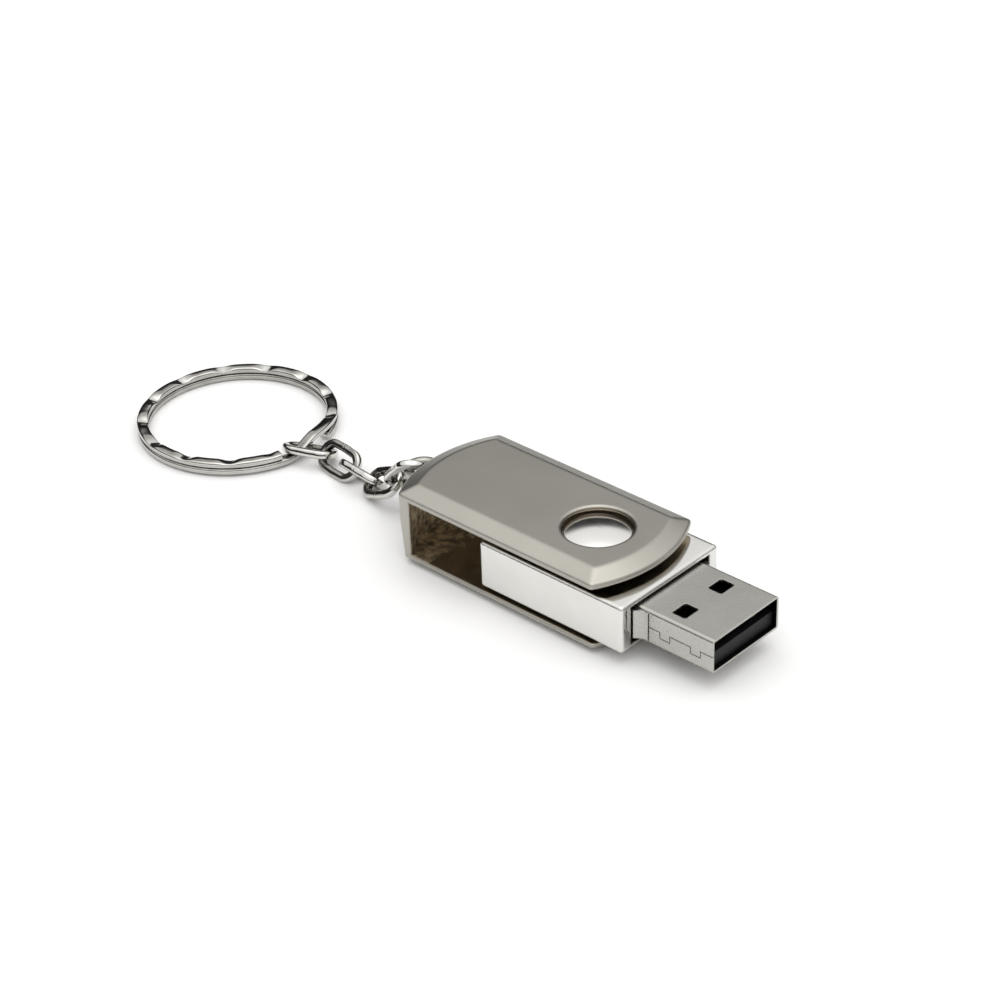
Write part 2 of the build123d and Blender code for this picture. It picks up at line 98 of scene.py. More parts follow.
class Hook(NamedTuple):
    """How a link hooks the one before: degrees round its end, of twist and of swing, and slack in mm."""

    around: float
    twist: float
    swing: float
    slack: float


# --- node trees ---------------------------------------------------------------------------------------


def math_node(tree: bpy.types.NodeTree, kind: str,
              *values: float | bpy.types.NodeSocket) -> bpy.types.NodeSocket:
    """A Math node.

    Args:
        tree: a material's or a world's node tree.
        kind: the operation's name.
        values: numbers or outputs of other nodes.

    Returns:
        The node's output.
    """
    node = tree.nodes.new("ShaderNodeMath")
    node.operation = kind
    for socket, value in zip(node.inputs, values):
        if isinstance(value, (int, float)):
            socket.default_value = value
        else:
            tree.links.new(value, socket)
    return node.outputs[0]


class Tree:
    """A material's node tree, with short calls to add and join nodes."""

    def __init__(self, name: str) -> None:
        """Start an empty material.

        Args:
            name: the material's name.
        """
        self.material = bpy.data.materials.new(name)
        self.material.use_nodes = True
        self.nodes = self.material.node_tree.nodes
        self.links = self.material.node_tree.links
        self.nodes.clear()
        self.shader = self.nodes.new("ShaderNodeBsdfPrincipled")
        output = self.nodes.new("ShaderNodeOutputMaterial")
        self.links.new(self.shader.outputs["BSDF"], output.inputs["Surface"])
        self.place = self.nodes.new("ShaderNodeTexCoord").outputs["Object"]

    def set(self, **values: float | tuple) -> None:
        """Set sockets of the shader by name, with _ for a space.

        Args:
            values: socket names and their values.
        """
        for name, value in values.items():
            socket = self.shader.inputs[name.replace("_", " ")]
            socket.default_value = (*value, 1.0) if isinstance(value, tuple) else value

    def join(self, source: bpy.types.NodeSocket, socket: str) -> None:
        """Join a node's output to a socket of the shader."""
        self.links.new(source, self.shader.inputs[socket])

    def math(self, kind: str, *values: float | bpy.types.NodeSocket) -> bpy.types.NodeSocket:
        """A Math node of this tree."""
        return math_node(self.material.node_tree, kind, *values)

    def length(self, along: bpy.types.NodeSocket, across: bpy.types.NodeSocket) -> bpy.types.NodeSocket:
        """The root of the sum of two squares.

        Args:
            along: one side of a right angle.
            across: the other side.

        Returns:
            The distance across the corner.
        """
        squares = [self.math("POWER", side, 2.0) for side in (along, across)]
        return self.math("SQRT", self.math("ADD", *squares))

    def noise(self, pattern: Pattern) -> bpy.types.NodeSocket:
        """Noise on Object coordinates.

        Args:
            pattern: the noise's size, detail and stretch.

        Returns:
            The noise's factor, from 0 to 1.
        """
        mapping = self.nodes.new("ShaderNodeMapping")
        mapping.inputs["Scale"].default_value = tuple(1 / s for s in pattern.stretch)
        self.links.new(self.place, mapping.inputs["Vector"])
        node = self.nodes.new("ShaderNodeTexNoise")
        node.inputs["Scale"].default_value = 1 / (pattern.size * MM)
        node.inputs["Detail"].default_value = pattern.detail
        self.links.new(mapping.outputs[0], node.inputs["Vector"])
        return node.outputs["Fac"]

    def span(self, source: bpy.types.NodeSocket, low: float = 0.0, high: float = 1.0,
             start: float = 0.3, end: float = 0.7) -> bpy.types.NodeSocket:
        """Map a factor between two ends onto a range of numbers.

        Args:
            source: the factor.
            low: result at start.
            high: result at end.
            start: factor that gives low.
            end: factor that gives high.

        Returns:
            The mapped number.
        """
        node = self.nodes.new("ShaderNodeMapRange")
        for name, value in (("From Min", start), ("From Max", end), ("To Min", low), ("To Max", high)):
            node.inputs[name].default_value = value
        self.links.new(source, node.inputs["Value"])
        return node.outputs["Result"]

    def tones(self, factor: bpy.types.NodeSocket, first: tuple | bpy.types.NodeSocket,
              second: tuple | bpy.types.NodeSocket) -> bpy.types.NodeSocket:
        """Mix two colours by a factor.

        Args:
            factor: 0 for the first colour, 1 for the second.
            first: red, green and blue, or another node's colour.
            second: red, green and blue, or another node's colour.

        Returns:
            The mixed colour.
        """
        node = self.nodes.new("ShaderNodeMix")
        node.data_type = "RGBA"
        self.links.new(factor, node.inputs["Factor"])
        for socket, colour in (("A", first), ("B", second)):
            target = next(i for i in node.inputs if i.name == socket and i.type == "RGBA")
            if isinstance(colour, tuple):
                target.default_value = (*colour, 1.0)
            else:
                self.links.new(colour, target)
        return next(o for o in node.outputs if o.type == "RGBA")

    def bump(self, height: bpy.types.NodeSocket, relief: Relief,
             under: bpy.types.NodeSocket | None = None) -> bpy.types.NodeSocket:
        """Bump from a height factor.

        Args:
            height: factor from 0 to 1.
            relief: the bump's depth and strength.
            under: another bump's normal that this one adds to.

        Returns:
            The bumped normal.
        """
        node = self.nodes.new("ShaderNodeBump")
        node.inputs["Distance"].default_value = relief.depth * MM
        node.inputs["Strength"].default_value = relief.strength
        self.links.new(height, node.inputs["Height"])
        if under is not None:
            self.links.new(under, node.inputs["Normal"])
        return node.outputs["Normal"]

    def soft_edges(self, radius: float) -> bpy.types.NodeSocket:
        """A normal that turns smoothly across edges.

        Args:
            radius: how far from an edge the turn starts, in millimetres.

        Returns:
            The softened normal.
        """
        node = self.nodes.new("ShaderNodeBevel")
        node.samples = EDGE_SAMPLES
        node.inputs["Radius"].default_value = radius * MM
        return node.outputs["Normal"]

    def axes(self) -> tuple[bpy.types.NodeSocket, ...]:
        """The three Object coordinates as separate outputs."""
        node = self.nodes.new("ShaderNodeSeparateXYZ")
        self.links.new(self.place, node.inputs[0])
        return tuple(node.outputs)


# --- finishes -----------------------------------------------------------------------------------------


@dataclass(frozen=True)
class SatinNickel:
    """Fine matt nickel on a cast cover, rough between its plates and smoother in its pivot holes."""

    name: str = "satin_nickel"
    tone: tuple = (0.44, 0.425, 0.385)
    shade: tuple = (0.405, 0.39, 0.352)
    inside_shade_tone: tuple = (0.24, 0.20, 0.145)
    casting_tone: tuple = (0.80, 0.69, 0.52)
    hole_shade_tone: tuple = (0.24, 0.205, 0.16)
    roughness: tuple = (0.30, 0.38)
    casting_roughness: float = 0.12
    hole_roughness: float = 0.14
    cloud: Pattern = Pattern(9.0, 3.0)
    grain: Pattern = Pattern(0.09)
    grain_relief: Relief = Relief(0.005, 0.5)
    inside_blotch: Pattern = Pattern(2.2, 5.0)
    inside_blotch_gain: float = 1.5
    speckle: Pattern = Pattern(0.9, 6.0)
    speckle_ends: tuple = (0.35, 0.65)
    lump: Pattern = Pattern(0.8, 6.0)
    lump_relief: Relief = Relief(0.3, 0.9)
    bend: Pattern = Pattern(3.0, 3.0)
    bend_reach: float = 2.0
    arc_centre: float = -9.0
    inside_radius: float = 15.98
    inside_half_width: float = 8.9
    inside_low: float = 1.36
    inside_high: float = 8.91
    casting_reach: float = -19.0
    hole_radius: float = 4.34
    edge_radius: float = 0.45

    def material(self) -> bpy.types.Material:
        """Build the material.

        The casting's coarse skin is what lies between the plates behind a line that slow noise bends. The
        inner faces between the plates are a brown tone, darkened as painted shade and blotched by noise. The
        holes' walls lie within their radius of the pivot axis, dark brown as painted shade in the gap round
        the cap.

        Returns:
            The finished material.
        """
        tree = Tree(self.name)
        tree.set(Metallic=1.0)
        along, across, up = tree.axes()
        inside = self.between_plates(tree, along, across, up)
        bend = tree.span(tree.noise(self.bend), -self.bend_reach * MM, self.bend_reach * MM)
        coarse = tree.math("LESS_THAN", tree.math("ADD", along, bend), self.casting_reach * MM)
        coarse = tree.math("MULTIPLY", coarse, inside)
        in_hole = tree.math("LESS_THAN", tree.length(along, across), self.hole_radius * MM)
        colour = tree.tones(tree.span(tree.noise(self.cloud)), self.tone, self.shade)
        # Inner faces: a brown tone darkened as painted shade, blotched by noise.
        paler = tuple(self.inside_blotch_gain * c for c in self.inside_shade_tone)
        inside_colour = tree.tones(tree.span(tree.noise(self.inside_blotch)), self.inside_shade_tone, paler)
        speckle = tree.span(tree.noise(self.speckle), 0.0, 1.0, *self.speckle_ends)
        casting_colour = tree.tones(speckle, self.inside_shade_tone, self.casting_tone)
        colour = tree.tones(inside, colour, inside_colour)
        colour = tree.tones(coarse, colour, casting_colour)
        # Pivot holes' walls: dark brown, painted shade in the gap round the cap.
        colour = tree.tones(in_hole, colour, self.hole_shade_tone)
        tree.join(colour, "Base Color")
        fine = tree.noise(self.grain)
        coarser = tree.math("MULTIPLY", coarse, self.casting_roughness)
        smoother = tree.math("MULTIPLY", in_hole, self.hole_roughness - self.roughness[0])
        rough = tree.math("ADD", tree.span(fine, *self.roughness), coarser)
        tree.join(tree.math("ADD", rough, smoother), "Roughness")
        lumps = tree.math("MULTIPLY", tree.noise(self.lump), coarse)
        skin = tree.bump(fine, self.grain_relief, tree.soft_edges(self.edge_radius))
        tree.join(tree.bump(lumps, self.lump_relief, skin), "Normal")
        return tree.material

    def between_plates(self, tree: Tree, along: bpy.types.NodeSocket, across: bpy.types.NodeSocket,
                       up: bpy.types.NodeSocket) -> bpy.types.NodeSocket:
        """Where a point lies on the cover's inner faces.

        Its height is between the plates, its distance from the middle is less than the half width, and it
        is ahead of the end wall's arc centre or nearer to it than the wall's inner radius.

        Args:
            tree: the material's tree.
            along: the point's X.
            across: the point's Y.
            up: the point's Z.

        Returns:
            1 on the inner faces and 0 elsewhere.
        """
        from_arc = tree.math("SUBTRACT", along, self.arc_centre * MM)
        near_wall = tree.math("LESS_THAN", tree.length(from_arc, across), self.inside_radius * MM)
        ahead = tree.math("GREATER_THAN", along, self.arc_centre * MM)
        above = tree.math("GREATER_THAN", up, self.inside_low * MM)
        below = tree.math("LESS_THAN", up, self.inside_high * MM)
        clear_of_sides = tree.math("LESS_THAN", tree.math("ABSOLUTE", across), self.inside_half_width * MM)
        before_wall = tree.math("MAXIMUM", near_wall, ahead)
        level = tree.math("MULTIPLY", above, below)
        return tree.math("MULTIPLY", tree.math("MULTIPLY", before_wall, level), clear_of_sides)


@dataclass(frozen=True)
class BrightPlating:
    """Mirror plating with faint long waves, a little haze and hairline rubs."""

    name: str
    tone: tuple
    shade: tuple
    roughness: tuple = (0.04, 0.09)
    cloud: Pattern = Pattern(4.0, 4.0)
    haze: Pattern = Pattern(1.2, 5.0)
    wave: Pattern = Pattern(3.0, 1.0)
    wave_relief: Relief = Relief(0.012)
    rub: Pattern = Pattern(0.25, 3.0, (12.0, 1.0, 1.0))
    rub_relief: Relief = Relief(0.003, 0.6)
    edge_radius: float = 0.0
    groove: float = 0.0
    groove_shade_tone: tuple = (0.10, 0.085, 0.065)
    # Painted shade and dark reflections: a share carried by the mesh mixes the colour towards this tone.
    with_painted_shade: bool = False
    painted_shade_tone: tuple = (0.085, 0.078, 0.066)
    patch: Pattern = Pattern(1.6, 3.0)
    patch_ends: tuple = (0.75, 1.15)

    def material(self) -> bpy.types.Material:
        """Build the material.

        Beyond the groove's radius from the Z axis the metal has a dark tone, painted shade in the groove.
        A piece with painted shade is darker by the values that its mesh carries, painted shade and dark
        reflections, a little more or less in patches.

        Returns:
            The finished material.
        """
        tree = Tree(self.name)
        tree.set(Metallic=1.0)
        colour = tree.tones(tree.span(tree.noise(self.cloud)), self.tone, self.shade)
        # Painted shade: beyond the groove's radius the cap is darkened as the gap round it.
        if self.groove:
            along, across, _ = tree.axes()
            beyond = tree.math("GREATER_THAN", tree.length(along, across), self.groove * MM)
            colour = tree.tones(beyond, colour, self.groove_shade_tone)
        # Painted shade and dark reflections carried by the mesh darken the colour, more or less in patches.
        if self.with_painted_shade:
            darkening = tree.nodes.new("ShaderNodeAttribute")
            darkening.attribute_name = PAINTED_SHADE
            patches = tree.span(tree.noise(self.patch), *self.patch_ends)
            share = tree.math("MULTIPLY", darkening.outputs["Fac"], patches)
            colour = tree.tones(share, colour, self.painted_shade_tone)
        tree.join(colour, "Base Color")
        tree.join(tree.span(tree.noise(self.haze), *self.roughness), "Roughness")
        edges = tree.soft_edges(self.edge_radius) if self.edge_radius else None
        waves = tree.bump(tree.noise(self.wave), self.wave_relief, edges)
        tree.join(tree.bump(tree.noise(self.rub), self.rub_relief, waves), "Normal")
        return tree.material


@dataclass(frozen=True)
class RolledSteel:
    """Plain nickel-plated sheet steel with a fine matt grain and short rolling lines."""

    name: str = "plug_steel"
    tone: tuple = (0.49, 0.485, 0.455)
    shade: tuple = (0.455, 0.45, 0.42)
    roughness: tuple = (0.24, 0.34)
    cloud: Pattern = Pattern(2.5, 4.0)
    line: Pattern = Pattern(0.08, 2.0, (5.0, 1.0, 1.0))
    line_relief: Relief = Relief(0.003, 0.5)
    grain: Pattern = Pattern(0.05, 1.0)
    grain_relief: Relief = Relief(0.003, 0.6)
    edge_radius: float = 0.16
    inside: tuple | None = None
    inside_shade_tone: tuple = (0.03, 0.03, 0.028)

    def material(self) -> bpy.types.Material:
        """Build the material.

        Returns:
            The finished material.
        """
        tree = Tree(self.name)
        tree.set(Metallic=1.0)
        colour = tree.tones(tree.span(tree.noise(self.cloud)), self.tone, self.shade)
        # Painted shade: inside the folded sheet the steel is near-black.
        if self.inside:
            colour = tree.tones(self.hollow(tree), colour, self.inside_shade_tone)
        tree.join(colour, "Base Color")
        lines = tree.noise(self.line)
        tree.join(tree.span(lines, *self.roughness), "Roughness")
        grain = tree.bump(tree.noise(self.grain), self.grain_relief, tree.soft_edges(self.edge_radius))
        tree.join(tree.bump(lines, self.line_relief, grain), "Normal")
        return tree.material

    def hollow(self, tree: Tree) -> bpy.types.NodeSocket:
        """Where a point lies inside the folded sheet, which is painted near-black as shade.

        Args:
            tree: the material's tree.

        Returns:
            1 within the half width of the middle and between the two heights, and 0 elsewhere.
        """
        half_width, low, high = self.inside
        _, across, up = tree.axes()
        above, below = tree.math("GREATER_THAN", up, low * MM), tree.math("LESS_THAN", up, high * MM)
        near = tree.math("LESS_THAN", tree.math("ABSOLUTE", across), half_width * MM)
        return tree.math("MULTIPLY", tree.math("MULTIPLY", above, below), near)


@dataclass(frozen=True)
class Moulding:
    """Moulded plastic, epoxy or ceramic with a fine spark-eroded skin."""

    name: str
    tone: tuple
    shade: tuple
    roughness: tuple = (0.42, 0.55)
    cloud: Pattern = Pattern(1.6, 3.0)
    skin: Pattern = Pattern(0.12)
    skin_relief: Relief = Relief(0.006, 0.7)
    refraction: float = 1.5
    transmission: float = 0.0
    specular: float = 0.5

    def material(self) -> bpy.types.Material:
        """Build the material.

        Returns:
            The finished material.
        """
        tree = Tree(self.name)
        tree.set(IOR=self.refraction, Specular_IOR_Level=self.specular)
        tree.set(Transmission_Weight=self.transmission)
        tree.join(tree.tones(tree.span(tree.noise(self.cloud)), self.tone, self.shade), "Base Color")
        skin = tree.noise(self.skin)
        tree.join(tree.span(skin, *self.roughness), "Roughness")
        tree.join(tree.bump(skin, self.skin_relief), "Normal")
        return tree.material


@dataclass(frozen=True)
class SolderMask:
    """Green lacquer over copper tracks that show as paler, slightly raised lines."""

    name: str = "board_green"
    tone: tuple = (0.012, 0.16, 0.06)
    track_tone: tuple = (0.03, 0.27, 0.11)
    pitch: float = 0.9
    track_share: float = 0.45
    track_relief: Relief = Relief(0.03, 0.6)
    bend: Pattern = Pattern(4.0, 0.0)
    bend_reach: float = 1.4
    haze: Pattern = Pattern(0.4, 3.0)
    roughness: tuple = (0.25, 0.38)
    refraction: float = 1.5
    coat: float = 0.4
    coat_roughness: float = 0.1

    def material(self) -> bpy.types.Material:
        """Build the material.

        The tracks are where a wave across the board, bent by slow noise, is above a level.

        Returns:
            The finished material.
        """
        tree = Tree(self.name)
        tree.set(IOR=self.refraction, Coat_Weight=self.coat, Coat_Roughness=self.coat_roughness)
        _, across, _ = tree.axes()
        bend = tree.span(tree.noise(self.bend), 0.0, self.bend_reach * MM, start=0.0, end=1.0)
        phase = tree.math("MULTIPLY", tree.math("ADD", across, bend), 2 * math.pi / (self.pitch * MM))
        track = tree.math("GREATER_THAN", tree.math("SINE", phase), self.track_share)
        tree.join(tree.tones(track, self.tone, self.track_tone), "Base Color")
        tree.join(tree.span(tree.noise(self.haze), *self.roughness), "Roughness")
        tree.join(tree.bump(track, self.track_relief), "Normal")
        return tree.material


Finish = SatinNickel | BrightPlating | RolledSteel | Moulding | SolderMask


# --- surfaces -----------------------------------------------------------------------------------------


def turned(first: Vector3, second: Vector3, degrees: float) -> Vector3:
    """The unit direction reached by turning first towards second, which is square to it."""
    angle = math.radians(degrees)
    return first * math.cos(angle) + second * math.sin(angle)


def eased(share: np.ndarray) -> np.ndarray:
    """A share cut to 0..1 and eased at both ends: three times its square less twice its cube."""
    share = np.clip(share, 0.0, 1.0)
    return share * share * (3 - 2 * share)


def superellipse(half_width: float, half_height: float, power: float, count: int) -> np.ndarray:
    """A rounded rectangle whose sides are the powers of cosine and sine.

    Args:
        half_width: half its width.
        half_height: half its height.
        power: 2 gives an ellipse, and more gives flatter sides.
        count: points round it.

    Returns:
        Points (count, 2), anticlockwise.
    """
    angle = np.linspace(0, 2 * math.pi, count, endpoint=False)
    cos, sin = np.cos(angle), np.sin(angle)
    return np.stack([half_width * np.sign(cos) * np.abs(cos) ** (2 / power),
                     half_height * np.sign(sin) * np.abs(sin) ** (2 / power)], axis=-1)


def grid_quads(rows: int, columns: int, closed: bool) -> np.ndarray:
    """Quads of a grid whose columns wrap round, and whose rows wrap round too if closed.

    Args:
        rows: stations along the path.
        columns: points round each section.
        closed: whether the last station joins the first.

    Returns:
        Vertex numbers (faces, 4).
    """
    row = np.arange(rows if closed else rows - 1)[:, None]
    column = np.arange(columns)[None, :]
    after, beside = (row + 1) % rows, (column + 1) % columns
    corners = [row * columns + column, after * columns + column,
               after * columns + beside, row * columns + beside]
    return np.stack([np.broadcast_to(c, (row.size, columns)) for c in corners], axis=-1).reshape(-1, 4)


def swept(centres: np.ndarray, outward: np.ndarray, upward: np.ndarray, sections: np.ndarray) -> np.ndarray:
    """Carry a section along a path: centre, plus its width outward, plus its height upward.

    Args:
        centres: path points (rows, 3).
        outward: directions of the section's width (rows, 3).
        upward: directions of the section's height (rows, 3).
        sections: section points (rows, columns, 2) or (columns, 2).

    Returns:
        Surface points (rows, columns, 3).
    """
    sections = np.broadcast_to(sections, (len(centres), *sections.shape[-2:]))
    return centres[:, None] + sections[..., :1] * outward[:, None] + sections[..., 1:] * upward[:, None]


def surface_object(name: str, grid: np.ndarray, closed: bool, painted_shade: np.ndarray) -> bpy.types.Object:
    """Make a mesh object from a swept grid in millimetres, with fans over its cut ends if it is open.

    Args:
        name: the object's name.
        grid: surface points (rows, columns, 3).
        closed: whether the path is a loop.
        painted_shade: how much painted shade each point of the grid carries, from 0 to 1 (rows, columns).

    Returns:
        The object, smooth shaded, with its normals outwards and its painted shade in an attribute.
    """
    rows, columns, _ = grid.shape
    points = grid.reshape(-1, 3)
    quads = grid_quads(rows, columns, closed)
    loops, sizes = quads.reshape(-1), np.full(len(quads), 4)
    if not closed:
        ends = np.stack([grid[0].mean(axis=0), grid[-1].mean(axis=0)])
        ring = np.arange(columns)
        step = (ring + 1) % columns
        last = (rows - 1) * columns
        first_fan = np.stack([np.full(columns, len(points)), ring, step], axis=-1)
        last_fan = np.stack([np.full(columns, len(points) + 1), last + step, last + ring], axis=-1)
        points = np.concatenate([points, ends])
        fans = np.concatenate([first_fan, last_fan]).reshape(-1)
        loops, sizes = np.concatenate([loops, fans]), np.concatenate([sizes, np.full(2 * columns, 3)])
    mesh = bpy.data.meshes.new(name)
    mesh.vertices.add(len(points))
    mesh.vertices.foreach_set("co", (points * MM).astype(np.float32).reshape(-1))
    mesh.loops.add(len(loops))
    mesh.loops.foreach_set("vertex_index", loops.astype(np.int32))
    mesh.polygons.add(len(sizes))
    starts = np.concatenate([[0], np.cumsum(sizes)[:-1]])
    mesh.polygons.foreach_set("loop_start", starts.astype(np.int32))
    mesh.polygons.foreach_set("loop_total", sizes.astype(np.int32))
    mesh.polygons.foreach_set("use_smooth", np.ones(len(sizes), dtype=bool))
    mesh.update(calc_edges=True)
    mesh.validate()
    turn_outwards(mesh)
    # The painted shade goes into a mesh attribute that the material reads.
    darkening = np.zeros(len(points), dtype=np.float32)
    darkening[:rows * columns] = painted_shade.reshape(-1)
    mesh.attributes.new(PAINTED_SHADE, "FLOAT", "POINT").data.foreach_set("value", darkening)
    item = bpy.data.objects.new(name, mesh)
    bpy.context.scene.collection.objects.link(item)
    return item


def turn_outwards(mesh: bpy.types.Mesh) -> None:
    """Turn every face over if the closed mesh's signed volume is negative.

    The volume is a sixth of the sum, over triangles, of a corner's dot product with the cross product of the
    other two.

    Args:
        mesh: a closed mesh.
    """
    mesh.calc_loop_triangles()
    corners = np.empty(len(mesh.loop_triangles) * 3, dtype=np.int32)
    mesh.loop_triangles.foreach_get("vertices", corners)
    points = np.empty(len(mesh.vertices) * 3, dtype=np.float32)
    mesh.vertices.foreach_get("co", points)
    a, b, c = points.reshape(-1, 3)[corners].reshape(-1, 3, 3).transpose(1, 0, 2)
    if np.einsum("ij,ij->", a, np.cross(b, c)) < 0:
        mesh.flip_normals()


# --- sub-assemblies -----------------------------------------------------------------------------------


@dataclass
class Chain:
    """Five welded links of flattened wire, lying from the cover's eye to the split ring."""

    eye: tuple = (-28.5, 0.0, 6.8)
    eye_hole_radius: float = 1.35
    link_length: float = 7.72
    link_width: float = 4.48
    wire: float = 1.15
    gap: float = 0.08
    first: Start = Start(heading=-46, pitch=8, twist=-37, swing=-74, slack=0.85)
    turns: tuple[Hook, ...] = (
        Hook(around=19, twist=-15, swing=17, slack=0.0),
        Hook(around=17, twist=4, swing=-22, slack=0.55),
        Hook(around=4, twist=5, swing=-1, slack=0.6),
        Hook(around=11, twist=19, swing=22, slack=0.0),
    )
    flatness: float = 2.8
    side_bow: float = 0.06
    thinning: float = 0.96
    # Painted shade on the inside of the wire, and a painted dark reflection in a band along each face.
    inside_shade: float = 0.8
    inside_start: float = 0.2
    inside_ramp: float = 0.6
    band_shade: float = 0.75
    band_height: float = 0.86
    band_width: float = 0.13
    stations: int = 220
    section_points: int = 28
    seam_depth: float = 0.035
    seam_width: float = 0.06
    weld_bulge: float = 0.012
    weld_width: float = 0.45
    finish: BrightPlating = BrightPlating(
        "chain_chrome", tone=(0.70, 0.69, 0.665), shade=(0.62, 0.61, 0.58), wave=Pattern(1.1, 1.0),
        rub_relief=Relief(0.004, 0.6), with_painted_shade=True)

    @property
    def arc(self) -> float:
        """Radius of the wire's centre line at each end of a link."""
        return (self.link_width - self.wire) / 2

    @property
    def straight(self) -> float:
        """Length of a link's straight sides."""
        return self.link_length - self.link_width

    def places(self) -> list[LinkPlace]:
        """Place the links one after another from the eye.

        Each link hooks the end of the one before. The hook lies on its inside, some way round, and the new
        link is twisted from square to it and swung in its own plane.

        Returns:
            For each link, its near arc centre, the direction along it and the direction across it.
        """
        forward, sideways, upright = np.eye(3)
        first = self.first
        flat = turned(-forward, sideways, first.heading)
        pull = turned(flat, upright, first.pitch)
        wire_up = turned(upright, -flat, first.pitch)
        wire = turned(wire_up, np.cross(pull, wire_up), first.twist)
        hook = np.array(self.eye) + flat * (self.eye_hole_radius - self.wire / 2 - self.gap - first.slack)
        near = hook + pull * self.arc
        found = [(near, turned(pull, wire, first.swing), turned(wire, -pull, first.swing))]
        for around, twist, swing, slack in self.turns:
            near, along, across = found[-1]
            pull = turned(along, across, around)
            tangent = turned(across, -along, around)
            wire = turned(np.cross(along, across), tangent, twist)
            hook = near + along * self.straight + pull * (self.arc - self.wire - self.gap - slack)
            found.append((hook + pull * self.arc, turned(pull, wire, swing), turned(wire, -pull, swing)))
        return found

    def link_grid(self, place: LinkPlace) -> np.ndarray:
        """The wire's surface round one link.

        The centre line is two straights, bowed out by a squared sine, and two half circles, measured along
        its length. The section swells over the weld in the middle of one straight, with a narrow groove.

        Args:
            place: near arc centre, direction along, direction across.

        Returns:
            Surface points (stations, section_points, 3).
        """
        near, along, across = place
        normal = np.cross(along, across)
        half_turn = math.pi * self.arc
        total = 2 * (self.straight + half_turn)
        distance = np.linspace(0, total, self.stations, endpoint=False)
        leg = distance % (total / 2)
        side = np.where(distance < total / 2, 1.0, -1.0)
        on_straight = leg < self.straight
        angle = np.where(on_straight, 0.0, (leg - self.straight) / self.arc)
        run = np.where(on_straight, leg, self.straight)
        x = np.where(side > 0, run, self.straight - run) + side * self.arc * np.sin(angle)
        bow = self.side_bow * np.sin(math.pi * np.clip(leg / self.straight, 0, 1)) ** 2
        y = side * (self.arc * np.cos(angle) + bow)
        out_x, out_y = side * np.sin(angle), side * np.cos(angle)
        centres = near + x[:, None] * along + y[:, None] * across
        outward = out_x[:, None] * along + out_y[:, None] * across
        upward = np.broadcast_to(normal, outward.shape)
        weld = distance - (total / 2 + self.straight / 2)
        swell = 1 + (self.weld_bulge * np.exp(-(weld / self.weld_width) ** 2)
                     - self.seam_depth * np.exp(-(weld / self.seam_width) ** 2)) / (self.wire / 2)
        half = self.wire / 2 * self.thinning
        section = superellipse(half, half, self.flatness, self.section_points)
        return swept(centres, outward, upward, section[None] * swell[:, None, None])

    def painted_shade(self) -> np.ndarray:
        """How much painted shade a link carries: most on the inside of its wire, as painted shade, and in a
        band along each face, as a painted dark reflection.

        The inside is eased in from where minus the cosine of the angle round the wire passes its start. Each
        band is a bell curve of the sine.

        Returns:
            Values from 0 to 1 (stations, section_points).
        """
        angle = np.linspace(0, 2 * math.pi, self.section_points, endpoint=False)
        inner = eased((-np.cos(angle) - self.inside_start) / self.inside_ramp)
        bands = np.exp(-((np.abs(np.sin(angle)) - self.band_height) / self.band_width) ** 2)
        darkening = np.maximum(self.inside_shade * inner, self.band_shade * bands)
        return np.broadcast_to(darkening, (self.stations, self.section_points))

    def build(self) -> list[bpy.types.Object]:
        """Make the links, dress them and hang each on its body.

        Returns:
            The link objects, from the eye to the ring.
        """
        material = self.finish.material()
        made = []
        for number, place in enumerate(self.places(), start=1):
            item = surface_object(f"link_wire_{number}", self.link_grid(place), True, self.painted_shade())
            item.data.materials.append(material)
            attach(item, f"{Ride.LINK.value}{number}")
            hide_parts(f"chain_link_{number}")
            made.append(item)
            LOG.info("link %d made", number)
        return made


